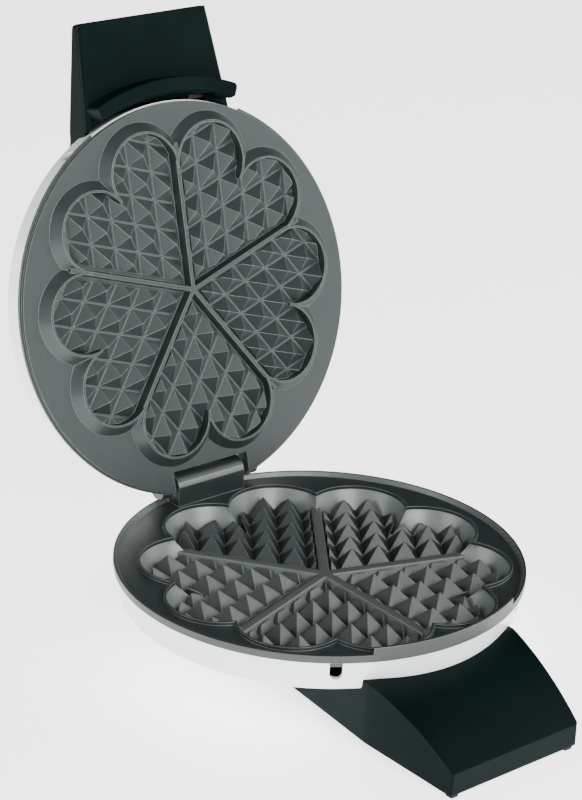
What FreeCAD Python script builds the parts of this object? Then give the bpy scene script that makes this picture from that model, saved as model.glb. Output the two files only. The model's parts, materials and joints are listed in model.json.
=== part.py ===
import FreeCAD, Part
# A free-standing waffle maker for one round waffle of five joined hearts, standing open.
#
# Every part is first drawn in the plate frame: z = 0 is the moat floor of the lower cooking
# plate, x = y = 0 is its centre, +Y points to the hinge and -Y to the handles, and the lid is
# shut. The lid is then turned back about the hinge, and the whole model is moved so that the
# origin is the bottom centre of its box, with the feet on z = 0. Lengths are millimetres.
import math
import os

from FreeCAD import Vector

# ---------------------------------------------------------------- driving dimensions
deck_height = 46.6          # moat floor above the table
plate_radius = 95.0         # outer lip of the lower cooking plate
flower_offset = -4.4        # centre of the five hearts, towards the handles
heart_count = 5
lobe_count = 10             # two lobes on each heart
lobe_circle = 61.4          # radius on which the lobes are centred
lobe_radius = 23.8          # lobe outline on the plate's face
lobe_floor_radius = 19.5    # lobe outline at the foot of the drafted wall
first_separator = 54.0      # degrees, direction of one of the five separators
lower_separator_halves = (2.1, 3.1)   # half widths of a separator at its top and foot
upper_separator_halves = (0.9, 1.9)
separator_length = 70.0
groove_pitch = 12.7         # distance between the rows of pyramids
field_radius = 18.1         # lobe outline that trims the pyramids
field_start = 3.5           # pyramids begin this far from a separator's centre line

lip_height = 2.07
lip_width = 1.2
moat_radius = 92.6          # foot of the lip's inner slope
seat_radius = 91.0          # step that sits in the mouth of the shell
seat_height = -1.3
deck_underside = -3.6
pan_underside = -13.0
pan_lobe_top = 24.9
pan_lobe_bottom = 22.0
recess_floor = -9.6
lower_tip = -1.05           # pyramid tips of the lower plate
lower_valley = -9.4
lower_first_ridge = 13.45   # first row of tips from a separator's centre line
lower_separator = -4.6
strip_top = -5.2            # cut-down row beside each separator
bead_height = 1.65
bead_width = 1.1
front_wall_height = 5.4
front_wall_width = 1.25
front_wall_angle = 51.0     # degrees of the rim that the raised wall covers

upper_face = 2.1            # face of the upper plate when shut
upper_rim_radius = 93.1
upper_flange_radius = 94.4
upper_flange_low = 3.6
upper_flange_high = 4.8
upper_back = 5.7
boss_ridge = -2.3           # crest of the raised outline
pocket_radius = 18.5
pocket_floor = 2.8
upper_tip = -2.0
upper_valley = 2.75
upper_first_ridge = 6.8
upper_land = 0.8            # flat strip between the rows of pyramids
upper_separator = -1.65

shell_wall = 2.2
shell_mouth_radius = 93.8
shell_edge_radius = 92.0
shell_edge_round = 2.6
lower_shell_mouth = -1.35
lower_shell_edge = -15.5
lower_shell_floor_radius = 72.0
lower_shell_floor = -23.0
upper_shell_mouth = 4.9
upper_shell_edge = 17.8
upper_shell_top_radius = 66.0
upper_shell_top = 26.0
slot_angle = 234.9          # degrees, slot over the plate's locating lug
slot_width = 5.6
slot_depth = 9.0
lug_width = 5.2
lug_depth = 2.7

hinge_y = 88.4
hinge_z = 8.9
open_angle = 104.0
knuckle_radius = 6.2
knuckle_half = 19.6
cutout_half = 22.1
cutout_y = 80.3
ear_radius = 4.6
ear_half = 28.6
pin_radius = 2.0
pin_half = 28.2
running_clearance = 0.06

handle_front = -134.9
handle_top = -33.9
handle_bottom = -44.9
handle_root = -85.5
handle_root_top = -10.9
handle_middle = (-110.2, -19.3)   # point of the arched top surface
handle_tip_half = 36.9
housing_half = 43.0
housing_rear = 86.0
housing_arch = -36.1        # underside between the front and rear feet
housing_wall = 2.6
cover_thickness = 2.2
cover_recess = 0.6
gland_z = -27.0              # axis of the cord gland in the back wall
handle_corner = 1.2          # upright edges at the tip of the lower handle
foot_boss = 7.5              # solid corner of the handle above a front foot
foot_length = 5.4
foot_inset = 0.6
foot_peg_radius = 1.5
foot_peg_place = 3.4         # peg axis, in from both faces of the corner

upper_handle_front = -134.4
upper_handle_inner = 11.2    # inner face at the tip
upper_handle_inner_root = 8.0
upper_handle_root = -80.0
upper_handle_tip = 17.1      # outer face at the tip
upper_handle_half = 36.5
upper_handle_root_half = 41.2
upper_handle_back = (-93.2, 22.7)
upper_handle_shoulder = (-80.5, 24.3)
upper_handle_crest = 31.0
upper_handle_end = -28.0
handle_skin = 2.4
cover_plate = 2.4            # thickness of the lid handle's inner plate
cover_seam = 0.3
cover_chamfer = 1.4
guard_inner = 96.9
guard_face = 98.8            # inner edge of the guard's flat face
guard_outer = 104.5
guard_low = -1.2
guard_chamfer = 2.2
guard_half_angle = 22.8
guard_corner = 2.2
window_low = 18.2            # lamp window in the lid handle's inner plate, along x
window_high = 27.6
window_y = -94.1
lens_depth = 2.1

dial_y = -53.0
dial_radius = 17.0
dial_height = 9.0
spindle_radius = 3.0
heater_radius = 3.3
screw_radius = 2.0

axis_z = Vector(0, 0, 1)
origin = Vector(0, 0, 0)
flower_centre = Vector(0, flower_offset, 0)
os.makedirs("parts", exist_ok=True)


# ---------------------------------------------------------------- shape helpers
def polar(radius, degrees, height=0.0):
    """Point at a radius and bearing from the plate's centre."""
    angle = math.radians(degrees)
    return Vector(radius * math.cos(angle), radius * math.sin(angle), height)


def rounded_wire(corners, radii):
    """Closed wire through corners, each turned into a tangent arc of its radius."""
    edges = []
    starts = []
    ends = []
    count = len(corners)
    for index, corner in enumerate(corners):
        before = (corners[index - 1] - corner).normalize()
        after = (corners[(index + 1) % count] - corner).normalize()
        radius = radii[index]
        half = before.getAngle(after) / 2
        reach = radius / math.tan(half)
        start = corner + before * reach
        end = corner + after * reach
        starts.append(start)
        ends.append(end)
        if radius > 0:
            inward = (before + after).normalize()
            middle = corner + inward * (radius / math.sin(half) - radius)
            edges.append(Part.Arc(start, middle, end).toShape())
        edges.append(None)
    result = []
    place = 0
    for index in range(count):
        if radii[index] > 0:
            result.append(edges[place])
            place += 1
        place += 1
        result.append(Part.makeLine(ends[index], starts[(index + 1) % count]))
    return Part.Wire(result)


def revolved(profile, radii=None):
    """Solid of revolution about the plate's axis from (radius, height) corners."""
    corners = [Vector(radius, 0, height) for radius, height in profile]
    wire = rounded_wire(corners, radii or [0] * len(corners))
    return Part.Face(wire).revolve(origin, axis_z, 360)


def side_prism(profile, x_low, x_high, radii=None):
    """Solid of one (y, z) outline, extruded across the width."""
    corners = [Vector(x_low, y, z) for y, z in profile]
    wire = rounded_wire(corners, radii or [0] * len(corners))
    return Part.Face(wire).extrude(Vector(x_high - x_low, 0, 0))


def plan_prism(outline, z_low, z_high, radii=None):
    """Solid of one (x, y) outline, extruded upwards."""
    corners = [Vector(x, y, z_low) for x, y in outline]
    wire = rounded_wire(corners, radii or [0] * len(corners))
    return Part.Face(wire).extrude(Vector(0, 0, z_high - z_low))


def box(x_low, x_high, y_low, y_high, z_low, z_high):
    """Axis-aligned block between two corners."""
    size = (x_high - x_low, y_high - y_low, z_high - z_low)
    return Part.makeBox(size[0], size[1], size[2], Vector(x_low, y_low, z_low))


def rod(radius, x, y, z_low, z_high):
    """Upright cylinder."""
    return Part.makeCylinder(radius, z_high - z_low, Vector(x, y, z_low), axis_z)


def rim_sector(inner, outer, z_low, z_high, bearing, sweep):
    """Piece of a ring, centred on a bearing in degrees."""
    block = [polar(inner, bearing - sweep / 2, z_low), polar(outer, bearing - sweep / 2, z_low),
             polar(outer, bearing - sweep / 2, z_high), polar(inner, bearing - sweep / 2, z_high)]
    face = Part.Face(Part.makePolygon(block + block[:1]))
    return face.revolve(origin, axis_z, sweep)


def mirrored(shape):
    """The same shape on the other side of the centre plane."""
    return shape.mirror(origin, Vector(1, 0, 0))


def turned(shape, degrees):
    """The shape turned about the centre of the five hearts."""
    copy = shape.copy()
    copy.rotate(flower_centre, axis_z, degrees)
    return copy


# ---------------------------------------------------------------- the pattern of five hearts
def flower_wire(radius, height):
    """Outline of ten lobes of one radius, which meet in cusps."""
    half_step = 180.0 / lobe_count
    half_gap = lobe_circle * math.sin(math.radians(half_step))
    reach = math.sqrt(radius ** 2 - half_gap ** 2)
    cusp = lobe_circle * math.cos(math.radians(half_step)) + reach
    lift = flower_centre + Vector(0, 0, height)
    edges = []
    for index in range(lobe_count):
        bearing = 2 * half_step * index
        start = polar(cusp, bearing - half_step) + lift
        middle = polar(lobe_circle + radius, bearing) + lift
        end = polar(cusp, bearing + half_step) + lift
        edges.append(Part.Arc(start, middle, end).toShape())
    return Part.Wire(edges)


def flower_solid(low_radius, low, high_radius, high):
    """Drafted block with the ten-lobed outline."""
    wires = [flower_wire(low_radius, low), flower_wire(high_radius, high)]
    return Part.makeLoft(wires, True, True)


def flower_core(radius, low, high):
    """Ten upright cylinders and the ten-sided block between their centres."""
    lift = flower_centre + Vector(0, 0, low)
    centres = [polar(lobe_circle, 360.0 / lobe_count * index) + lift for index in range(lobe_count)]
    core = Part.Face(Part.makePolygon(centres + centres[:1])).extrude(Vector(0, 0, high - low))
    lobes = [Part.makeCylinder(radius, high - low, centre, axis_z) for centre in centres]
    return core.fuse(lobes).removeSplitter()


def sawtooth(first_ridge, ridge, valley, root, cut_height, land=0.0):
    """(distance, height) outline of the rows of pyramids beside one separator."""
    flank = (groove_pitch - land) / 2
    slope = (ridge - valley) / flank
    sign = 1 if ridge > valley else -1
    first_valley = first_ridge - flank
    outline = [(field_start, root)]
    if first_valley > field_start:
        crest = valley + (first_valley - field_start) * slope
        if sign * (crest - cut_height) > 0:
            outline.append((field_start, cut_height))
            outline.append((first_valley - (cut_height - valley) / slope, cut_height))
        else:
            outline.append((field_start, crest))
        outline.append((first_valley, valley))
    else:
        outline.append((field_start, ridge - (first_ridge - field_start) * slope))
    for row in range(6):
        crest_place = first_ridge + row * groove_pitch
        outline.append((crest_place, ridge))
        outline.append((crest_place + flank, valley))
        if land:
            outline.append((crest_place + flank + land, valley))
    outline.append((outline[-1][0], root))
    return outline


def heart_field(outline):
    """Pyramids of one heart: two sets of ridges, each parallel to one bounding separator."""
    half_angle = 180.0 / heart_count
    length = 120.0
    corners = [Vector(-length / 4, distance, height) for distance, height in outline]
    face = Part.Face(Part.makePolygon(corners + corners[:1]))
    right = face.extrude(Vector(length, 0, 0))
    left = right.mirror(origin, Vector(0, 1, 0))
    right.rotate(origin, axis_z, -half_angle)
    left.rotate(origin, axis_z, half_angle)
    field = right.common(left)
    field.rotate(origin, axis_z, first_separator + half_angle)
    field.translate(flower_centre)
    return field


def heart_fields(outline, low, high):
    """The pyramids of all five hearts, trimmed inside the wall."""
    trim = flower_core(field_radius, low, high)
    one = heart_field(outline).common(trim)
    return [turned(one, 360.0 / heart_count * index) for index in range(heart_count)]


def separators(top, foot, halves):
    """Five drafted bars that divide the hearts and meet in a star."""
    half_top, half_foot = halves
    section = [Vector(0, -half_foot, foot), Vector(0, -half_top, top),
               Vector(0, half_top, top), Vector(0, half_foot, foot)]
    bar = Part.Face(Part.makePolygon(section + section[:1])).extrude(Vector(separator_length, 0, 0))
    bar.rotate(origin, axis_z, first_separator)
    bar.translate(flower_centre)
    bars = [turned(bar, 360.0 / heart_count * index) for index in range(heart_count)]
    return bars[0].fuse(bars[1:])


# ---------------------------------------------------------------- shells
def shell_profile(mouth, edge, floor_radius, floor):
    """Outer corners of a shell from its open mouth to its closed middle."""
    return [(shell_mouth_radius, mouth), (shell_edge_radius, edge), (floor_radius, floor)]


def shell_envelope(mouth, edge, floor_radius, floor, grow=0.0):
    """Solid block inside the outer surface of a shell, larger all round by grow."""
    side = 1 if floor > mouth else -1
    outer = shell_profile(mouth, edge, floor_radius, floor)
    corners = [(0, mouth)]
    corners += [(radius + grow, height + side * grow) for radius, height in outer]
    corners.append((0, floor + side * grow))
    return revolved(corners, [0, 0, shell_edge_round, 6.0, 0])


def shell_solid(mouth, edge, floor_radius, floor):
    """Thin dish with rounded edges."""
    side = 1 if floor > mouth else -1
    outer = shell_envelope(mouth, edge, floor_radius, floor)
    inner = [(0, mouth - side), (shell_mouth_radius - shell_wall, mouth - side),
             (shell_edge_radius - shell_wall, edge - side * 1.4),
             (floor_radius - 0.4, floor - side * shell_wall), (0, floor - side * shell_wall)]
    return outer.cut(revolved(inner, [0, 0, 1.2, 5.0, 0]))


def slot_tool(mouth, side):
    """Round-ended slot through the wall of a shell, open at its mouth."""
    depth = slot_depth - slot_width / 2
    block = box(88.0, 98.0, -slot_width / 2, slot_width / 2, -1.0, depth)
    end = Part.makeCylinder(slot_width / 2, 10.0, Vector(88.0, 0, depth), Vector(1, 0, 0))
    tool = block.fuse(end)
    if side < 0:
        tool = tool.mirror(origin, axis_z)
    tool.translate(Vector(0, 0, mouth))
    tool.rotate(origin, axis_z, slot_angle)
    return tool.fuse(mirrored(tool))


def locating_lugs(root, side):
    """Two small lugs of a plate that show in the slots of its shell."""
    low, high = sorted((root - side * 0.6, root + side * lug_depth))
    lug = box(88.0, 92.9, -lug_width / 2, lug_width / 2, low, high)
    lug.rotate(origin, axis_z, slot_angle)
    return [lug, mirrored(lug)]


# ---------------------------------------------------------------- lower half
def make_lower_plate():
    disc = revolved([(0, deck_underside), (seat_radius, deck_underside), (seat_radius, seat_height),
                     (plate_radius, seat_height), (plate_radius, lip_height),
                     (plate_radius - lip_width, lip_height), (moat_radius, 0), (0, 0)])
    pan = flower_solid(pan_lobe_bottom, pan_underside, pan_lobe_top, deck_underside + 0.5)
    bead = flower_solid(lobe_radius + bead_width, -1.0, lobe_radius + bead_width, bead_height)
    wall = rim_sector(plate_radius - front_wall_width, plate_radius, 0, front_wall_height,
                      270, front_wall_angle)
    knuckle_profile = [(hinge_y - knuckle_radius, seat_height + 0.3),
                       (hinge_y - knuckle_radius, hinge_z + knuckle_radius),
                       (hinge_y + knuckle_radius, hinge_z + knuckle_radius),
                       (hinge_y + knuckle_radius, seat_height + 0.3)]
    rounds = [0, knuckle_radius - 0.05, knuckle_radius - 0.05, 0]
    knuckle = side_prism(knuckle_profile, -knuckle_half, knuckle_half, rounds)
    posts = [rod(4.6, x, y, pan_underside - 7.6, pan_underside + 1.0) for x, y in lower_posts()]
    plate = disc.fuse([pan, bead, wall, knuckle] + posts + locating_lugs(seat_height, -1))
    plate = plate.cut(flower_solid(lobe_floor_radius, recess_floor, lobe_radius, 0.0))
    plate = plate.cut(flower_solid(lobe_radius, 0.0, lobe_radius, bead_height + 1.0))
    outline = sawtooth(lower_first_ridge, lower_tip, lower_valley, recess_floor - 1.0, strip_top)
    fields = heart_fields(outline, recess_floor - 2.0, 1.0)
    bars = separators(lower_separator, recess_floor - 1.0, lower_separator_halves)
    plate = plate.fuse([bars] + fields)
    pin_bore = Part.makeCylinder(pin_radius, 2 * pin_half, Vector(-pin_half, hinge_y, hinge_z),
                                 Vector(1, 0, 0))
    screw_bores = [rod(screw_radius, x, y, pan_underside - 8.0, pan_underside - 1.0)
                   for x, y in lower_posts()]
    return plate.cut([pin_bore] + screw_bores).removeSplitter()


def lower_posts():
    """Places of the four posts that carry the lower plate."""
    return [(sx * 30.0, y) for sx in (-1, 1) for y in (-54.0, 54.0)]


def make_lower_shell():
    shell = shell_solid(lower_shell_mouth, lower_shell_edge, lower_shell_floor_radius,
                        lower_shell_floor)
    holes = [rod(screw_radius + 0.3, x, y, lower_shell_floor - 1, 0) for x, y in lower_posts()]
    wiring_hole = rod(14.0, 0, 30.0, lower_shell_floor - 1, 0)
    return shell.cut([slot_tool(lower_shell_mouth, -1), wiring_hole] + holes)


def lower_envelope():
    return shell_envelope(lower_shell_mouth, lower_shell_edge, lower_shell_floor_radius,
                          lower_shell_floor)


def housing_plan(inset):
    """Plan outline of the base: straight under the drum, narrower towards the front."""
    half = housing_half - inset
    tip = handle_tip_half - inset
    front = handle_front + inset
    rear = housing_rear - inset
    return [(-tip, front), (tip, front), (half, handle_root), (half, rear), (-half, rear),
            (-half, handle_root)]


def underside(y):
    """Height of the housing's lower edge, which rises from the front towards the middle."""
    rise = housing_arch - handle_bottom
    run = -36.0 - handle_front
    return min(housing_arch, handle_bottom + rise * (y - handle_front) / run)


def arched_face(inset):
    """Side outline of the lower handle and base, shrunk by inset."""
    front = handle_front + inset
    start = Vector(0, front, handle_top - 0.75 * inset)
    middle = Vector(0, handle_middle[0] + 0.45 * inset, handle_middle[1] - 0.9 * inset)
    end = Vector(0, handle_root + 0.3 * inset, handle_root_top - inset)
    return start, middle, end


def make_housing():
    start, middle, end = arched_face(0)
    rear = housing_rear
    roof = -17.0
    tail = [end, Vector(0, -60, handle_root_top), Vector(0, -60, roof), Vector(0, rear, roof),
            Vector(0, rear, housing_arch - 1.6), Vector(0, 60, housing_arch),
            Vector(0, -36, housing_arch), Vector(0, handle_front + 0.5, handle_bottom), start]
    side = Part.Wire([Part.Arc(start, middle, end).toShape()] + Part.makePolygon(tail).Edges)
    body = Part.Face(side).extrude(Vector(2 * housing_half, 0, 0))
    body.translate(Vector(-housing_half, 0, 0))
    plan_radii = [handle_corner, handle_corner, 30.0, 16.0, 16.0, 30.0]
    plan = plan_prism(housing_plan(0), -60, 0, plan_radii)
    body = body.common(plan).cut(lower_envelope())
    corners = [body.common(corner_block(sign, foot_boss)) for sign in (-1, 1)]
    start, middle, end = arched_face(housing_wall)
    hollow = [end, Vector(0, -70, lower_shell_floor - 2.4), Vector(0, 70, lower_shell_floor - 2.4),
              Vector(0, rear - housing_wall, lower_shell_floor + 1.4),
              Vector(0, rear - housing_wall, -60), Vector(0, handle_front + housing_wall, -60), start]
    lining = Part.Wire([Part.Arc(start, middle, end).toShape()] + Part.makePolygon(hollow).Edges)
    cavity = Part.Face(lining).extrude(Vector(2 * housing_half, 0, 0))
    cavity.translate(Vector(-housing_half, 0, 0))
    inner_plan = plan_prism(housing_plan(housing_wall), -70, 0, [1, 1, 28.0, 13.0, 13.0, 28.0])
    roof_line = shell_envelope(lower_shell_mouth, lower_shell_edge, lower_shell_floor_radius,
                               lower_shell_floor, 2.4)
    body = body.cut(cavity.common(inner_plan).cut(roof_line))
    bosses = [rod(4.0, x, y, underside(y) + cover_recess + cover_thickness + 0.5,
                  lower_shell_floor - 1.0) for x, y in cover_screws()]
    bores = [rod(1.4, x, y, -60, lower_shell_floor - 4.4) for x, y in cover_screws()]
    bores += [rod(foot_peg_radius + 0.05, x, y, -60, handle_bottom + 4.0) for x, y in foot_pegs()]
    plate_bores = [rod(4.0, x, y, lower_shell_floor - 2.6, -20) for x, y in lower_posts()]
    wiring_hole = rod(14.0, 0, 30.0, -30.0, -20.0)
    gland_bore = Part.makeCylinder(6.0, 20, Vector(0, housing_rear - 10, gland_z), Vector(0, 1, 0))
    return body.fuse(bosses + corners).cut(bores + plate_bores + [wiring_hole, gland_bore])


def corner_block(sign, size):
    """Upright block over one front corner of the lower handle."""
    inner, outer = sorted((sign * (handle_tip_half - size), sign * (handle_tip_half + 2)))
    return box(inner, outer, handle_front - 1, handle_front + size, -60, handle_top - 4.0)


def foot_pegs():
    """Axes of the pegs that hold the two front feet."""
    x = handle_tip_half - foot_peg_place
    y = handle_front + foot_peg_place
    return [(-x, y), (x, y)]


def cover_screws():
    """Places of the four screws that hold the base cover."""
    return [(sx * 33.0, y) for sx in (-1, 1) for y in (-66.0, 30.0)]


def make_base_cover():
    """Plate that closes the housing from below and follows its arched lower edge."""
    gap = housing_wall + 0.2
    front = handle_front + gap
    rear = housing_rear - gap
    places = [front, -36.0, rear]
    low = [(y, underside(y) + cover_recess) for y in places]
    high = [(y, z + cover_thickness) for y, z in reversed(low)]
    cover = side_prism(low + high, -housing_half, housing_half)
    plan = plan_prism(housing_plan(gap), -70, 0, [1, 1, 28.0, 13.0, 13.0, 28.0])
    holes = [rod(1.7, x, y, -60, 0) for x, y in cover_screws()]
    heads = [rod(3.2, x, y, -60, underside(y) + cover_recess + 1.1) for x, y in cover_screws()]
    notches = [corner_block(sign, foot_boss + 0.2) for sign in (-1, 1)]
    return cover.common(plan).cut(holes + heads + notches)


def make_front_foot(sign, housing):
    """Drafted rubber foot under one front corner, with a peg pressed into the corner."""
    low = -deck_height
    top = handle_bottom + 0.6
    wires = []
    for inset, height in ((foot_inset + 0.5, low), (foot_inset, top)):
        outer = handle_tip_half - inset
        inner = handle_tip_half - foot_length
        front = handle_front + inset
        back = handle_front + foot_length
        corners = [(outer, front), (outer, back), (inner, back), (inner, front)]
        wires.append(rounded_wire([Vector(x, y, height) for x, y in corners], [1.0] * 4))
    foot = Part.makeLoft(wires, True, True)
    x, y = foot_pegs()[1]
    peg = rod(foot_peg_radius, x, y, low + 1.0, handle_bottom + 3.6)
    if sign < 0:
        foot = mirrored(foot)
        peg = mirrored(peg)
    return foot.cut(housing).fuse(peg)


def make_cover_screw(x, y):
    """Pan-head screw set in the base cover."""
    base = underside(y) + cover_recess
    head = rod(2.9, x, y, base - 0.2 + 0.3, base + 1.1)
    shank = rod(1.35, x, y, base + 1.0, base + 8.0)
    recess_a = box(x - 1.8, x + 1.8, y - 0.35, y + 0.35, base - 1, base + 0.7)
    recess_b = box(x - 0.35, x + 0.35, y - 1.8, y + 1.8, base - 1, base + 0.7)
    return head.fuse(shank).cut([recess_a, recess_b])


def make_plate_screw(x, y):
    """Screw from the shell's underside up into one post of the lower plate."""
    head = rod(3.6, x, y, lower_shell_floor - 1.6, lower_shell_floor)
    shank = rod(screw_radius - 0.05, x, y, lower_shell_floor - 0.2, pan_underside - 2.0)
    groove = box(x - 3.0, x + 3.0, y - 0.4, y + 0.4, lower_shell_floor - 2, lower_shell_floor - 0.9)
    return head.fuse(shank).cut(groove)


def heater_ring(z, gap_degrees, inward):
    """Sealed rod bent into an open ring, with two straight cold ends."""
    ring_radius = 50.0
    start = 90.0 + gap_degrees / 2
    section = Part.Face(Part.Wire(Part.makeCircle(heater_radius, polar(ring_radius, start, z),
                                                  polar(1.0, start + 90.0))))
    ring = section.revolve(Vector(0, 0, z), axis_z, 360 - gap_degrees)
    pieces = [ring]
    for bearing in (start, start - gap_degrees):
        elbow = polar(ring_radius, bearing, z)
        pieces.append(Part.makeSphere(heater_radius, elbow))
        direction = polar(-1.0, bearing)
        pieces.append(Part.makeCylinder(heater_radius, inward, elbow, direction))
        tip = elbow + direction * inward
        pieces.append(Part.makeCylinder(1.2, 9.0, tip - direction, direction))
    return pieces[0].fuse(pieces[1:])


def make_lower_reflector():
    sheet = revolved([(0, -20.5), (67.0, -20.5), (83.0, -14.6), (83.0, -14.0), (66.8, -19.9),
                      (0, -19.9)])
    holes = [rod(5.2, x, y, -30, 0) for x, y in lower_posts()]
    return sheet.cut(holes + [rod(12.0, 0, 30.0, -30, 0)])


def make_rear_foot(x):
    """Tapered foot under the back of the base."""
    top = underside(72.0) + cover_recess - 0.3
    return Part.makeCone(7.4, 9.2, top + deck_height - 1.4, Vector(x, 71.0, 1.4 - deck_height), axis_z)


def make_pad(x, y, top, radius):
    """Rubber pad that touches the table, with a small chamfer."""
    low = -deck_height
    pad = rod(radius, x, y, low + 0.4, top)
    return pad.fuse(Part.makeCone(radius - 0.4, radius, 0.4, Vector(x, y, low), axis_z))


def make_terminal_block():
    block = box(-17, 17, 38.0, 52.0, -32.6, -26.2)
    bores = [Part.makeCylinder(1.6, 20, Vector(x, 35, -29.4), Vector(0, 1, 0)) for x in (-11, 0, 11)]
    screws = [rod(1.5, x, 45.0, -28.5, -26.0) for x in (-11, 0, 11)]
    return block.cut(bores + screws)


def make_thermal_fuse():
    body = Part.makeCylinder(2.2, 15, Vector(-7.5, 8.0, -29.4), Vector(1, 0, 0))
    lead = Part.makeCylinder(0.6, 35, Vector(-17.5, 8.0, -29.4), Vector(1, 0, 0))
    return body.fuse(lead)


def make_cord_gland():
    """Bush in the back wall that the mains lead passes through."""
    along = Vector(0, 1, 0)
    flange = Part.makeCylinder(8.0, 2.0, Vector(0, housing_rear, gland_z), along)
    neck = Part.makeCylinder(5.9, 6.0, Vector(0, housing_rear - 4.5, gland_z), along)
    collar = Part.makeCone(7.0, 5.6, 5.0, Vector(0, housing_rear + 1.9, gland_z), along)
    bore = Part.makeCylinder(3.7, 30, Vector(0, housing_rear - 10, gland_z), along)
    return flange.fuse([neck, collar]).cut(bore)


def make_hinge_pin():
    return Part.makeCylinder(pin_radius, 2 * pin_half, Vector(-pin_half, hinge_y, hinge_z),
                             Vector(1, 0, 0))


# ---------------------------------------------------------------- lid, drawn shut
def make_upper_plate():
    disc = revolved([(0, upper_face), (upper_rim_radius, upper_face),
                     (upper_rim_radius, upper_flange_low), (upper_flange_radius, upper_flange_low),
                     (upper_flange_radius, upper_flange_high), (seat_radius, upper_flange_high),
                     (seat_radius, upper_back), (0, upper_back)])
    boss = flower_solid(lobe_floor_radius, boss_ridge, lobe_radius, upper_face)
    posts = [rod(4.0, x, y, upper_back - 0.5, 21.9) for x, y in upper_posts()]
    plate = disc.fuse([boss] + posts + locating_lugs(upper_flange_high, 1))
    plate = plate.cut(flower_core(pocket_radius, boss_ridge - 1.0, pocket_floor))
    root = pocket_floor + 0.6
    outline = sawtooth(upper_first_ridge, upper_tip, upper_valley, root, upper_valley, upper_land)
    fields = heart_fields(outline, boss_ridge - 1.0, pocket_floor + 1.0)
    plate = plate.fuse([separators(upper_separator, root, upper_separator_halves)] + fields)
    relief = rim_sector(upper_rim_radius, 99.0, 0, upper_flange_high + 0.1, 270,
                        front_wall_angle + 3)
    cutout = box(-cutout_half, cutout_half, cutout_y, 100, -5, 40)
    plate = plate.cut([relief, cutout])
    ears = [side_prism([(hinge_y - 7.5, upper_face + 1.5), (hinge_y - 7.5, hinge_z + ear_radius),
                        (hinge_y + ear_radius, hinge_z + ear_radius),
                        (hinge_y + ear_radius, hinge_z - ear_radius),
                        (hinge_y + 0.4, upper_face + 1.5)],
                       cutout_half, ear_half, [0, 2.0, ear_radius - 0.05, ear_radius - 0.6, 0])]
    ears.append(mirrored(ears[0]))
    reach = pin_half + 0.3
    bore = Part.makeCylinder(pin_radius + running_clearance, 2 * reach,
                             Vector(-reach, hinge_y, hinge_z), Vector(1, 0, 0))
    screw_bores = [rod(screw_radius, x, y, 12, 25) for x, y in upper_posts()]
    return plate.fuse(ears).cut([bore] + screw_bores).removeSplitter()


def upper_posts():
    """Places of the two posts that carry the upper shell."""
    return [(-47.0, 39.0), (47.0, 39.0)]


def make_upper_shell():
    shell = shell_solid(upper_shell_mouth, upper_shell_edge, upper_shell_top_radius, upper_shell_top)
    relief = rim_sector(88.0, 99.0, 0, front_wall_height + 0.6, 270, front_wall_angle + 3)
    knuckle_notch = box(-cutout_half, cutout_half, 70, 100, 0, 20.0)
    ear_notch = box(-ear_half - 0.8, ear_half + 0.8, hinge_y - 9.0, 100, 0, 14.5)
    holes = [rod(screw_radius + 0.3, x, y, 15, 30) for x, y in upper_posts()]
    handle_hole = rod(12.5, 0, dial_y, 15, 30)
    tools = [slot_tool(upper_shell_mouth, 1), relief, knuckle_notch, ear_notch, handle_hole]
    return shell.cut(tools + holes)


def upper_envelope():
    return shell_envelope(upper_shell_mouth, upper_shell_edge, upper_shell_top_radius, upper_shell_top)


def upper_handle_plan(inset):
    """Plan outline of the lid's handle, a little narrower at its tip."""
    tip = upper_handle_half - inset
    root = upper_handle_root_half - inset
    front = upper_handle_front + inset
    end = upper_handle_end - inset
    return [(-tip, front), (tip, front), (root, handle_root), (root, end), (-root, end),
            (-root, handle_root)]


def inner_face(y):
    """Height of the lid handle's inner face, which leans away from the plates at the tip."""
    share = (y - upper_handle_front) / (upper_handle_root - upper_handle_front)
    return upper_handle_inner + share * (upper_handle_inner_root - upper_handle_inner)


def make_upper_handle():
    """Outer moulding of the lid's handle, which runs on over the shell and carries the dial."""
    seam = cover_plate + cover_seam
    crest = upper_handle_crest
    profile = [(upper_handle_front, upper_handle_inner + seam), (upper_handle_front, upper_handle_tip),
               upper_handle_back, upper_handle_shoulder, (-68.0, crest), (-36.0, crest),
               (upper_handle_end, 24.0), (upper_handle_end, 12.0),
               (upper_handle_root, upper_handle_inner_root + seam)]
    body = side_prism(profile, -45, 45, [0, 1.8, 60.0, 9.0, 9.0, 8.0, 0, 0, 0])
    plan = plan_prism(upper_handle_plan(0), 0, 50, [2.0, 2.0, 20.0, 18.0, 18.0, 20.0])
    body = body.common(plan).cut(upper_envelope())
    front = upper_handle_front + handle_skin
    end = upper_handle_end - handle_skin
    back_y, back_z = upper_handle_back
    shoulder_y, shoulder_z = upper_handle_shoulder
    inner = [(front, 0), (front, upper_handle_tip - handle_skin + 0.3), (back_y, back_z - handle_skin),
             (shoulder_y + 1.0, shoulder_z - handle_skin), (-66.8, crest - handle_skin),
             (-38.0, crest - handle_skin), (end, 24.0), (end, 0)]
    cavity = side_prism(inner, -45, 45, [0, 0, 58.0, 8.0, 8.0, 6.0, 0, 0])
    inner_plan = plan_prism(upper_handle_plan(handle_skin), -10, 50, [1, 1, 18.0, 16.0, 16.0, 18.0])
    spindle_hole = rod(spindle_radius + 0.6, 0, dial_y, 20, 40)
    return body.cut([cavity.common(inner_plan), spindle_hole])


def leaned(shape):
    """Tips a flat-drawn piece about the handle's front edge, to follow the inner face."""
    rise = upper_handle_inner - upper_handle_inner_root
    angle = math.degrees(math.atan2(rise, upper_handle_root - upper_handle_front))
    shape.translate(Vector(0, 0, upper_handle_inner))
    shape.rotate(Vector(0, upper_handle_front, upper_handle_inner), Vector(1, 0, 0), -angle)
    return shape


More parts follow.
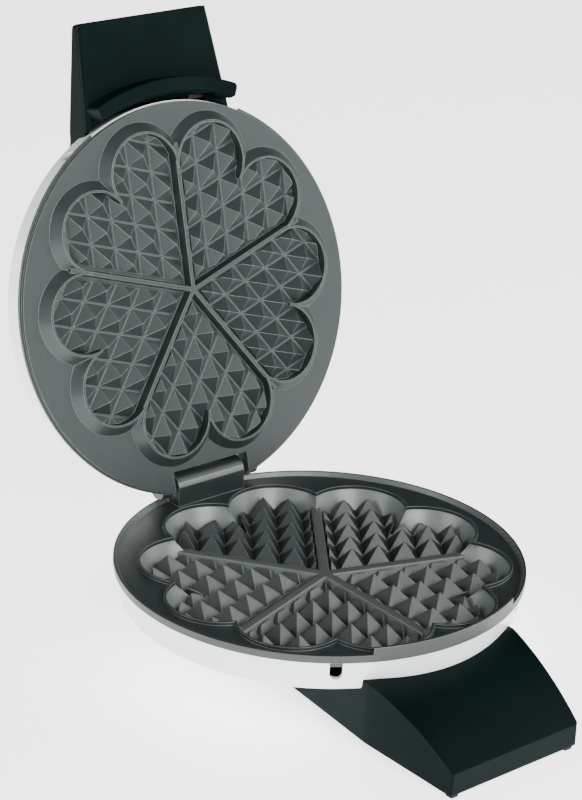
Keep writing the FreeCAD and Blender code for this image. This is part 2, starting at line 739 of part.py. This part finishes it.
def make_handle_cover():
    """Inner plate of the lid's handle, with the curved guard beside the rim."""
    tip = upper_handle_half
    root = upper_handle_root_half
    outlines = []
    for inset, height in ((cover_chamfer, 0.0), (0.0, cover_chamfer)):
        corners = [(-tip + inset, upper_handle_front), (tip - inset, upper_handle_front),
                   (root - inset, handle_root), (root - inset, upper_handle_root),
                   (inset - root, upper_handle_root), (inset - root, handle_root)]
        outlines.append(rounded_wire([Vector(x, y, height) for x, y in corners], [0] * 6))
    chamfered = Part.makeLoft(outlines, True, True)
    upper = Part.Face(outlines[1]).extrude(Vector(0, 0, cover_plate - cover_chamfer))
    gap = handle_skin + 0.1
    rib = plan_prism(upper_handle_plan(gap), cover_plate - 0.1, cover_plate + 1.6)
    rib = rib.cut(plan_prism(upper_handle_plan(gap + 1.2), 0, cover_plate + 2.0))
    rib = leaned(rib).cut(revolved([(0, 0), (98.0, 0), (98.0, 40), (0, 40)]))
    slab = leaned(chamfered.fuse(upper))
    guard = make_guard()
    window = box(window_low, window_high, window_y, -88.0, 0, 20)
    drum = revolved([(0, -5), (94.6, -5), (94.6, 40), (0, 40)])
    return slab.fuse([guard, rib]).cut([window, drum])


def make_guard():
    """Curved band with a chamfered inner edge and rounded ends."""
    top = inner_face(-guard_inner) + 1.0
    section = [(guard_inner, top), (guard_inner, guard_low + guard_chamfer), (guard_face, guard_low),
               (guard_outer, guard_low), (guard_outer, top)]
    corners = [polar(radius, 270 - guard_half_angle, height) for radius, height in section]
    face = Part.Face(Part.makePolygon(corners + corners[:1]))
    band = face.revolve(origin, axis_z, 2 * guard_half_angle)
    upright = [edge for edge in band.Edges
               if abs(edge.Vertexes[0].X - edge.Vertexes[-1].X) < 0.01
               and abs(edge.Vertexes[0].Z - edge.Vertexes[-1].Z) > 3.0]
    return band.makeFillet(guard_corner, upright)


def make_upper_reflector():
    sheet = revolved([(0, 13.6), (70.0, 13.6), (80.0, 10.0), (80.0, 9.4), (69.8, 13.0), (0, 13.0)])
    return sheet.cut([rod(4.8, x, y, 0, 30) for x, y in upper_posts()] + [rod(13.0, 0, dial_y, 0, 30)])


def make_thermostat():
    """Switch body under the dial, on a bracket that reaches down to the plate."""
    body = rod(10.5, 0, dial_y, 18.6, 26.5)
    stem = rod(4.0, 0, dial_y, upper_back, 18.7)
    tabs = [box(x - 2.4, x + 2.4, dial_y - 15.0, dial_y - 8.0, 21.0, 21.8) for x in (-5, 5)]
    return body.fuse([stem] + tabs).cut(rod(spindle_radius + running_clearance, 0, dial_y, 21.0, 30))


def make_dial_spindle():
    return rod(spindle_radius, 0, dial_y, 21.4, upper_handle_crest + 6.0)


def make_dial():
    """Knob with a domed edge, finger flutes and a pointer rib."""
    low = upper_handle_crest + 0.5
    profile = [Vector(0, 0, low), Vector(dial_radius, 0, low), Vector(dial_radius - 1.2, 0, low + dial_height),
               Vector(0, 0, low + dial_height)]
    wire = rounded_wire(profile, [0, 0.6, 2.2, 0])
    knob = Part.Face(wire).revolve(origin, axis_z, 360)
    flutes = []
    for index in range(18):
        place = polar(dial_radius + 1.4, 20.0 * index + 10.0, low + 1.6)
        flutes.append(Part.makeCylinder(2.1, dial_height, place, axis_z))
    pointer = box(-0.9, 0.9, dial_radius - 8.0, dial_radius - 2.6, low + dial_height - 0.2,
                  low + dial_height + 0.7)
    knob = knob.cut(flutes).fuse(pointer)
    knob.translate(Vector(0, dial_y, 0))
    return knob.cut(rod(spindle_radius, 0, dial_y, low - 1, upper_handle_crest + 6.0))


def make_lamp_lens():
    """Red bar set back in the window beside the guard."""
    low = inner_face(window_y) + 0.9
    return box(window_low, window_high, window_y, window_y + lens_depth, low, low + 2.8)


def make_shell_screw(x, y):
    """Domed screw that holds the upper shell to its post."""
    seat = upper_shell_top
    head = Part.makeCone(3.4, 2.4, 1.3, Vector(x, y, seat), axis_z)
    shank = rod(screw_radius - 0.05, x, y, 13.0, seat + 0.1)
    groove = box(x - 2.2, x + 2.2, y - 0.4, y + 0.4, seat + 0.7, seat + 2)
    return head.fuse(shank).cut(groove)


# ---------------------------------------------------------------- assembly
base = {
    "lower_plate": make_lower_plate(),
    "lower_shell": make_lower_shell(),
    "base_housing": make_housing(),
    "base_cover": make_base_cover(),
    "lower_heater": heater_ring(pan_underside - heater_radius - 0.05, 40.0, 10.0),
    "lower_reflector": make_lower_reflector(),
    "terminal_block": make_terminal_block(),
    "thermal_fuse": make_thermal_fuse(),
    "cord_gland": make_cord_gland(),
    "hinge_pin": make_hinge_pin(),
}
for number, (x, y) in enumerate(cover_screws(), 1):
    base["cover_screw_%d" % number] = make_cover_screw(x, y)
for number, (x, y) in enumerate(lower_posts(), 1):
    base["plate_screw_%d" % number] = make_plate_screw(x, y)
for name, x in (("left", -31.0), ("right", 31.0)):
    base["rear_foot_" + name] = make_rear_foot(x)
    base["rear_pad_" + name] = make_pad(x, 71.0, 1.4 - deck_height, 7.0)
for name, sign in (("left", -1), ("right", 1)):
    base["front_foot_" + name] = make_front_foot(sign, base["base_housing"])

lid = {
    "upper_plate": make_upper_plate(),
    "upper_shell": make_upper_shell(),
    "upper_handle": make_upper_handle(),
    "handle_cover": make_handle_cover(),
    "upper_heater": heater_ring(upper_back + heater_radius + 0.05, 40.0, 10.0),
    "upper_reflector": make_upper_reflector(),
    "thermostat": make_thermostat(),
    "lamp_lens": make_lamp_lens(),
    "dial_spindle": make_dial_spindle(),
    "thermostat_dial": make_dial(),
}
for number, (x, y) in enumerate(upper_posts(), 1):
    lid["shell_screw_%d" % number] = make_shell_screw(x, y)
for shape in lid.values():
    shape.rotate(Vector(0, hinge_y, hinge_z), Vector(1, 0, 0), -open_angle)

nodes = {**base, **lid}
whole = FreeCAD.BoundBox()
for shape in nodes.values():
    whole.add(shape.optimalBoundingBox())
to_frame = Vector(0, -whole.Center.y, deck_height)
for name, shape in nodes.items():
    shape.translate(to_frame)
    shape.exportStep("parts/" + name + ".step")
    state = "valid" if shape.isValid() else "NOT VALID"
    print(name, state, len(shape.Solids), "solid(s)", round(shape.Volume / 1000, 2), "cm3")

pivot = Vector(0, hinge_y, hinge_z) + to_frame
print("box", [round(v, 2) for v in (whole.XLength, whole.YLength, whole.ZLength)])
print("hinge axis at", [round(v, 3) for v in pivot], "plate centre y", round(to_frame.y, 3))
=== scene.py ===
import json
import math

import bpy
from mathutils import Matrix, Vector


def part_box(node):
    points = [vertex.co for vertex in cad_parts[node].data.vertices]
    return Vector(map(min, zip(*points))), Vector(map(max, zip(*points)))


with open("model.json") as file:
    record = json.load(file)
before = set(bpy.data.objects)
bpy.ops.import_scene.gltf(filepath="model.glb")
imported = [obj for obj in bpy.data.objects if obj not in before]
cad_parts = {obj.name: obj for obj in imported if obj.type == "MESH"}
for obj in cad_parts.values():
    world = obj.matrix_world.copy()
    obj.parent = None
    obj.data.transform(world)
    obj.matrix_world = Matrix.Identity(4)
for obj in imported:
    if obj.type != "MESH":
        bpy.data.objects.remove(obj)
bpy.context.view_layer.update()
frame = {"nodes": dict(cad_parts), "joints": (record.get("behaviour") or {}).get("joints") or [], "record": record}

# ---------------------------------------------------------------- places, metres
MM = 0.001
DECK_ABOVE_SHELL = 1.35 * MM
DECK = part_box("lower_shell")[1].z + DECK_ABOVE_SHELL
hinge = next(joint for joint in frame["joints"] if joint["name"] == "lid_hinge")
HINGE = Vector(hinge["pos_m"])
PLATE_TO_HINGE = 88.4 * MM
PLATE_CENTRE = Vector((0, HINGE.y - PLATE_TO_HINGE, DECK))
CREST_BELOW_DECK = 4.6 * MM     # level tops of the lower plate's separators
CREST_TOLERANCE = 0.2 * MM

# ---------------------------------------------------------------- camera
VIEW_AZIMUTH = math.radians(-39.92)
VIEW_HEIGHT = math.radians(22.91)
VIEW_ROLL = math.radians(2.48)
VIEW_DISTANCE = 1.1441
VIEW_RIGHT = -0.01636
VIEW_UP = 0.07325
LENS_MM = 111.8
SENSOR_MM = 36.0
CLIP_NEAR = 0.05
CLIP_FAR = 20

# ---------------------------------------------------------------- light levels
TENT_TINT = (0.97, 1.0, 1.0)
TENT_FRONT = (-0.1, -0.99, 0.1)
TENT_BACK = 0.08
TENT_TOP = 0.15
FLOOR_HALF = 6.0
FLOOR_GLOW = 2.6

# ---------------------------------------------------------------- surfaces
EDGE_WIDTH = 0.35 * MM
CREST_ROUNDING = 1.6 * MM       # added to the rounding of the lower plate on its separators
CREST_SHARE = 0.5               # colour of the painted highlight on the separators' crests, as a share of the painted wall reflection colour
MOULDED_ROUNDING = 0.7 * MM
NOISE_LOW = 0.3
NOISE_HIGH = 0.7
WALL_RISE = (0.12, 0.48)        # upward part of the normal on the drafted mould walls
WALL_FADE = 0.04


def make_camera():
    """Camera at a fixed bearing from the lower plate, tipped by a small roll."""
    back = Vector((math.sin(VIEW_AZIMUTH) * math.cos(VIEW_HEIGHT),
                   -math.cos(VIEW_AZIMUTH) * math.cos(VIEW_HEIGHT), math.sin(VIEW_HEIGHT)))
    right = Vector((0, 0, 1)).cross(back).normalized()
    up = back.cross(right)
    data = bpy.data.cameras.new("camera")
    data.lens = LENS_MM
    data.sensor_width = SENSOR_MM
    data.sensor_height = SENSOR_MM
    data.sensor_fit = "AUTO"
    data.clip_start = CLIP_NEAR
    data.clip_end = CLIP_FAR
    camera = bpy.data.objects.new("camera", data)
    bpy.context.collection.objects.link(camera)
    turned_right = right * math.cos(VIEW_ROLL) + up * math.sin(VIEW_ROLL)
    turned_up = up * math.cos(VIEW_ROLL) - right * math.sin(VIEW_ROLL)
    pose = Matrix((turned_right, turned_up, back)).transposed().to_4x4()
    pose.translation = PLATE_CENTRE + right * VIEW_RIGHT + up * VIEW_UP + back * VIEW_DISTANCE
    camera.matrix_world = pose
    bpy.context.scene.camera = camera


# ---------------------------------------------------------------- light and floor
def area_light(name, bearing, height, distance, size, power):
    """Soft box that looks at the waffle maker from a bearing and a height in degrees."""
    data = bpy.data.lights.new(name, "AREA")
    data.shape = "RECTANGLE"
    data.size, data.size_y = size
    data.energy = power
    lamp = bpy.data.objects.new(name, data)
    bpy.context.collection.objects.link(lamp)
    turn = math.radians(bearing)
    rise = math.radians(height)
    direction = Vector((math.sin(turn) * math.cos(rise), -math.cos(turn) * math.cos(rise),
                        math.sin(rise)))
    facing = direction.to_track_quat("Z", "Y").to_matrix().to_4x4()
    lamp.matrix_world = Matrix.Translation(PLATE_CENTRE + direction * distance) @ facing


def tent_range(tree, value, low, high, out_low, out_high):
    """Smooth step between two light levels."""
    node = tree.nodes.new("ShaderNodeMapRange")
    node.interpolation_type = "SMOOTHSTEP"
    for name, number in (("From Min", low), ("From Max", high), ("To Min", out_low),
                         ("To Max", out_high)):
        node.inputs[name].default_value = number
    tree.links.new(value, node.inputs["Value"])
    return node.outputs["Result"]


def make_world():
    """Light tent that is bright in front, dim behind and dark overhead."""
    world = bpy.data.worlds.new("studio")
    world.use_nodes = True
    tree = world.node_tree
    place = tree.nodes.new("ShaderNodeTexCoord")
    ahead = tree.nodes.new("ShaderNodeVectorMath")
    ahead.operation = "DOT_PRODUCT"
    ahead.inputs[1].default_value = TENT_FRONT
    split = tree.nodes.new("ShaderNodeSeparateXYZ")
    product = tree.nodes.new("ShaderNodeMath")
    product.operation = "MULTIPLY"
    tree.links.new(place.outputs["Generated"], ahead.inputs[0])
    tree.links.new(place.outputs["Generated"], split.inputs["Vector"])
    walls = tent_range(tree, ahead.outputs["Value"], low=-0.5, high=0.7, out_low=TENT_BACK,
                       out_high=1.0)
    roof = tent_range(tree, split.outputs["Z"], low=0.25, high=0.85, out_low=1.0,
                      out_high=TENT_TOP)
    tree.links.new(walls, product.inputs[0])
    tree.links.new(roof, product.inputs[1])
    background = tree.nodes["Background"]
    background.inputs["Color"].default_value = (*TENT_TINT, 1)
    tree.links.new(product.outputs["Value"], background.inputs["Strength"])
    bpy.context.scene.world = world


def make_floor():
    """Wide pale floor with a soft glow, like a light table."""
    mesh = bpy.data.meshes.new("floor")
    corners = [(-FLOOR_HALF, -FLOOR_HALF, 0), (FLOOR_HALF, -FLOOR_HALF, 0),
               (FLOOR_HALF, FLOOR_HALF, 0), (-FLOOR_HALF, FLOOR_HALF, 0)]
    mesh.from_pydata(corners, [], [(0, 1, 2, 3)])
    floor = bpy.data.objects.new("floor", mesh)
    bpy.context.collection.objects.link(floor)
    nodes = NodeMaterial("floor_paint", color=(0.92, 0.92, 0.92), roughness=0.75)
    nodes.shader.inputs["Emission Color"].default_value = (1, 1, 1, 1)
    nodes.shader.inputs["Emission Strength"].default_value = FLOOR_GLOW
    floor.data.materials.append(nodes.material)


def make_stage():
    """Light tent, four soft boxes and the floor."""
    make_world()
    area_light("key", bearing=-12, height=32, distance=1.5, size=(1.0, 0.8), power=26)
    area_light("left_box", bearing=-105, height=22, distance=1.3, size=(0.8, 0.8), power=9)
    area_light("right_box", bearing=65, height=28, distance=1.3, size=(0.8, 0.8), power=9)
    area_light("top_box", bearing=180, height=70, distance=1.4, size=(1.2, 0.8), power=2)
    make_floor()


# ---------------------------------------------------------------- materials
class NodeMaterial:
    """Small helper that wires procedural nodes to one Principled shader."""

    def __init__(self, name, color, roughness, metallic=0.0):
        self.material = bpy.data.materials.new(name)
        self.material.use_nodes = True
        self.tree = self.material.node_tree
        self.shader = self.tree.nodes["Principled BSDF"]
        self.shader.inputs["Base Color"].default_value = (*color, 1)
        self.shader.inputs["Roughness"].default_value = roughness
        self.shader.inputs["Metallic"].default_value = metallic
        self.coordinates = self.tree.nodes.new("ShaderNodeTexCoord")

    def link(self, output, socket):
        self.tree.links.new(output, socket)

    def noise(self, scale, detail, roughness=0.5, stretch=None):
        """Noise in the piece's own coordinates, stretched along its axes if asked."""
        node = self.tree.nodes.new("ShaderNodeTexNoise")
        node.inputs["Scale"].default_value = scale
        node.inputs["Detail"].default_value = detail
        node.inputs["Roughness"].default_value = roughness
        place = self.coordinates.outputs["Object"]
        if stretch:
            mapping = self.tree.nodes.new("ShaderNodeMapping")
            mapping.inputs["Scale"].default_value = stretch
            self.link(place, mapping.inputs["Vector"])
            place = mapping.outputs["Vector"]
        self.link(place, node.inputs["Vector"])
        return node.outputs["Fac"]

    def ramp(self, value, stops):
        """Colour ramp from (position, colour) pairs."""
        node = self.tree.nodes.new("ShaderNodeValToRGB")
        elements = node.color_ramp.elements
        while len(elements) < len(stops):
            elements.new(0.5)
        for element, (position, color) in zip(elements, stops):
            element.position = position
            element.color = (*color, 1)
        self.link(value, node.inputs["Fac"])
        return node.outputs["Color"]

    def range(self, value, low, high, out_low, out_high):
        """Straight map from one span of values to another."""
        node = self.tree.nodes.new("ShaderNodeMapRange")
        for name, number in (("From Min", low), ("From Max", high), ("To Min", out_low),
                             ("To Max", out_high)):
            node.inputs[name].default_value = number
        self.link(value, node.inputs["Value"])
        return node.outputs["Result"]

    def math(self, operation, *values):
        """Maths node fed with outputs or plain numbers."""
        node = self.tree.nodes.new("ShaderNodeMath")
        node.operation = operation
        for socket, value in zip(node.inputs, values):
            if isinstance(value, float):
                socket.default_value = value
            else:
                self.link(value, socket)
        return node.outputs["Value"]

    def mix(self, factor, color, other):
        """Blends a colour output towards a fixed colour."""
        node = self.tree.nodes.new("ShaderNodeMix")
        node.data_type = "RGBA"
        self.link(factor, node.inputs["Factor"])
        self.link(color, node.inputs["A"])
        node.inputs["B"].default_value = (*other, 1)
        return node.outputs["Result"]

    def rounded(self, radius):
        """Shading normal that rounds hard edges by a radius."""
        node = self.tree.nodes.new("ShaderNodeBevel")
        node.samples = 6
        node.inputs["Radius"].default_value = radius
        return node

    def edges(self, width):
        """1 on edges and creases, 0 on open faces."""
        rounded = self.rounded(width)
        shape = self.tree.nodes.new("ShaderNodeNewGeometry")
        dot = self.tree.nodes.new("ShaderNodeVectorMath")
        dot.operation = "DOT_PRODUCT"
        self.link(rounded.outputs["Normal"], dot.inputs[0])
        self.link(shape.outputs["Normal"], dot.inputs[1])
        return self.range(dot.outputs["Value"], low=0.99, high=0.92, out_low=0.0, out_high=1.0)

    def upward(self):
        """Upward part of the face's own normal."""
        shape = self.tree.nodes.new("ShaderNodeNewGeometry")
        split = self.tree.nodes.new("ShaderNodeSeparateXYZ")
        self.link(shape.outputs["True Normal"], split.inputs["Vector"])
        return split.outputs["Z"]

    def steep(self, low, high):
        """1 on faces whose normal's upward part lies between two values, 0 on the rest."""
        black = (0, 0, 0)
        white = (1, 1, 1)
        return self.ramp(self.upward(), [(low - WALL_FADE, black), (low, white),
                                         (high, white), (high + WALL_FADE, black)])

    def level(self, height, tolerance):
        """1 on level faces at a height, 0 elsewhere."""
        split = self.tree.nodes.new("ShaderNodeSeparateXYZ")
        self.link(self.coordinates.outputs["Object"], split.inputs["Vector"])
        at_height = self.math("COMPARE", split.outputs["Z"], height, tolerance)
        flat = self.range(self.upward(), low=0.9, high=0.98, out_low=0.0, out_high=1.0)
        return self.math("MULTIPLY", at_height, flat)

    def color(self, value):
        self.link(value, self.shader.inputs["Base Color"])

    def rough(self, value, low, high):
        """Roughness that wanders between two values with a noise."""
        spread = self.range(value, NOISE_LOW, NOISE_HIGH, low, high)
        self.link(spread, self.shader.inputs["Roughness"])

    def bump(self, value, strength, distance, rounding=0.0):
        """Fine relief, on top of rounded edges if a radius is given."""
        node = self.tree.nodes.new("ShaderNodeBump")
        rounded = self.rounded(rounding) if rounding else None
        if rounded:
            self.link(rounded.outputs["Normal"], node.inputs["Normal"])
        node.inputs["Strength"].default_value = strength
        node.inputs["Distance"].default_value = distance
        self.link(value, node.inputs["Height"])
        self.link(node.outputs["Normal"], self.shader.inputs["Normal"])
        return rounded

    def sheen(self, level):
        self.shader.inputs["Specular IOR Level"].default_value = level


def nonstick(name, dark, light, edge_highlight, rounding, sheen, roughness, walls=None):
    """Non-stick coating: fine speckle, a satin sheen and painted highlights along edges and creases.

    With a wall colour, the drafted mould walls are made lighter as a painted reflection, and the separators'
    crests are made lighter as a painted highlight."""
    nodes = NodeMaterial(name, color=light, roughness=0.4, metallic=0.2)
    grain = nodes.noise(scale=2600, detail=2.0, roughness=0.6)
    coating = nodes.ramp(grain, [(0.3, dark), (0.62, light)])
    if walls:
        crest = nodes.level(DECK - CREST_BELOW_DECK, CREST_TOLERANCE)
        crest_highlight = tuple(CREST_SHARE * part for part in walls)
        # painted reflection: steep mould walls are blended towards the lighter wall colour
        coating = nodes.mix(nodes.steep(*WALL_RISE), coating, walls)
        # painted highlight: the separators' crests are blended towards a share of the wall colour
        coating = nodes.mix(crest, coating, crest_highlight)
    # painted highlight: edges and creases are blended towards the lighter edge colour
    nodes.color(nodes.mix(nodes.edges(EDGE_WIDTH), coating, edge_highlight))
    nodes.rough(nodes.noise(scale=140, detail=3.0), *roughness)
    relief = nodes.bump(nodes.noise(scale=1500, detail=2.0), strength=0.35, distance=0.12 * MM,
                        rounding=rounding)
    if walls:
        crest_radius = nodes.math("MULTIPLY_ADD", crest, CREST_ROUNDING, rounding)
        nodes.link(crest_radius, relief.inputs["Radius"])
    nodes.sheen(sheen)
    return nodes.material


def white_gloss():
    """White enamel-like plastic with a faint orange peel."""
    nodes = NodeMaterial("white_gloss", color=(0.88, 0.9, 0.9), roughness=0.16)
    nodes.color(nodes.ramp(nodes.noise(scale=18, detail=2.0),
                           [(NOISE_LOW, (0.86, 0.885, 0.885)), (NOISE_HIGH, (0.9, 0.915, 0.915))]))
    nodes.rough(nodes.noise(scale=60, detail=2.0), 0.13, 0.2)
    nodes.bump(nodes.noise(scale=420, detail=1.0), strength=0.08, distance=0.2 * MM)
    nodes.shader.inputs["Coat Weight"].default_value = 0.3
    return nodes.material


def moulded(name, dark, light, roughness, grain=1800, depth=0.06 * MM, sheen=0.12):
    """Moulded plastic with a spark-eroded grain."""
    nodes = NodeMaterial(name, color=light, roughness=roughness[1])
    nodes.color(nodes.ramp(nodes.noise(scale=30, detail=3.0), [(0.35, dark), (0.65, light)]))
    nodes.rough(nodes.noise(scale=90, detail=3.0), *roughness)
    nodes.bump(nodes.noise(scale=grain, detail=2.0), strength=0.3, distance=depth,
               rounding=MOULDED_ROUNDING)
    nodes.sheen(sheen)
    return nodes.material


def metal(name, dark, light, roughness, stretch=None):
    """Bare metal with faint streaks."""
    nodes = NodeMaterial(name, color=light, roughness=roughness[1], metallic=1.0)
    streaks = nodes.noise(scale=300, detail=4.0, roughness=0.6, stretch=stretch)
    nodes.color(nodes.ramp(streaks, [(NOISE_LOW, dark), (NOISE_HIGH, light)]))
    nodes.rough(streaks, *roughness)
    nodes.bump(streaks, strength=0.1, distance=0.05 * MM)
    return nodes.material


def lamp_lens():
    """Dark red lens, unlit, with a faintly uneven surface."""
    nodes = NodeMaterial("lamp_lens", color=(0.05, 0.006, 0.006), roughness=0.3)
    nodes.color(nodes.ramp(nodes.noise(scale=900, detail=2.0),
                           [(NOISE_LOW, (0.012, 0.001, 0.001)), (NOISE_HIGH, (0.03, 0.002, 0.002))]))
    nodes.rough(nodes.noise(scale=500, detail=2.0), 0.08, 0.2)
    nodes.bump(nodes.noise(scale=700, detail=1.0), strength=0.1, distance=0.1 * MM)
    return nodes.material


def make_materials():
    """One material for each slot of the record."""
    return {
        # the edge colours of both plates are painted highlights on edges and creases
        "nonstick_lower": nonstick("nonstick_lower", dark=(0.009, 0.015, 0.0145),
                                   light=(0.016, 0.024, 0.023), edge_highlight=(0.17, 0.195, 0.19),
                                   rounding=0.7 * MM, sheen=0.85, roughness=(0.38, 0.45),
                                   # walls colour: painted reflection on the steep mould walls, also the source of
                                   # the painted crest highlight
                                   walls=(0.13, 0.15, 0.145)),
        "nonstick_upper": nonstick("nonstick_upper", dark=(0.018, 0.026, 0.025),
                                   light=(0.031, 0.041, 0.039), edge_highlight=(0.2, 0.225, 0.22),
                                   rounding=0.3 * MM, sheen=0.55, roughness=(0.32, 0.39)),
        "white_shell": white_gloss(),
        "black_plastic": moulded("black_plastic", dark=(0.0012, 0.0048, 0.0046),
                                 light=(0.002, 0.0068, 0.0065), roughness=(0.34, 0.42), sheen=0.03),
        "black_matte": moulded("black_matte", dark=(0.012, 0.014, 0.014),
                               light=(0.02, 0.022, 0.022), roughness=(0.5, 0.62)),
        "dial_plastic": moulded("dial_plastic", dark=(0.009, 0.012, 0.012),
                                light=(0.014, 0.018, 0.018), roughness=(0.3, 0.4)),
        "foot_rubber": moulded("foot_rubber", dark=(0.016, 0.016, 0.016),
                               light=(0.028, 0.028, 0.028), roughness=(0.7, 0.85), grain=900,
                               depth=0.15 * MM),
        "heater_steel": metal("heater_steel", dark=(0.2, 0.17, 0.15), light=(0.34, 0.31, 0.29),
                              roughness=(0.35, 0.5)),
        "reflector_sheet": metal("reflector_sheet", dark=(0.7, 0.71, 0.72),
                                 light=(0.8, 0.81, 0.82), roughness=(0.2, 0.3),
                                 stretch=(1, 0.05, 1)),
        "screw_steel": metal("screw_steel", dark=(0.5, 0.5, 0.5), light=(0.66, 0.66, 0.66),
                             roughness=(0.2, 0.32)),
        "ivory_plastic": moulded("ivory_plastic", dark=(0.6, 0.55, 0.43), light=(0.7, 0.65, 0.54),
                                 roughness=(0.4, 0.5)),
        "lamp_red": lamp_lens(),
    }


# ---------------------------------------------------------------- CAD nodes
def dress_nodes(materials):
    """Gives every CAD node the material of its slot."""
    for entry in frame["record"]["subparts"]:
        piece = frame["nodes"][entry["node"]]
        piece.data.materials.clear()
        piece.data.materials.append(materials[entry["material_slot"]])


make_camera()
make_stage()
dress_nodes(make_materials())
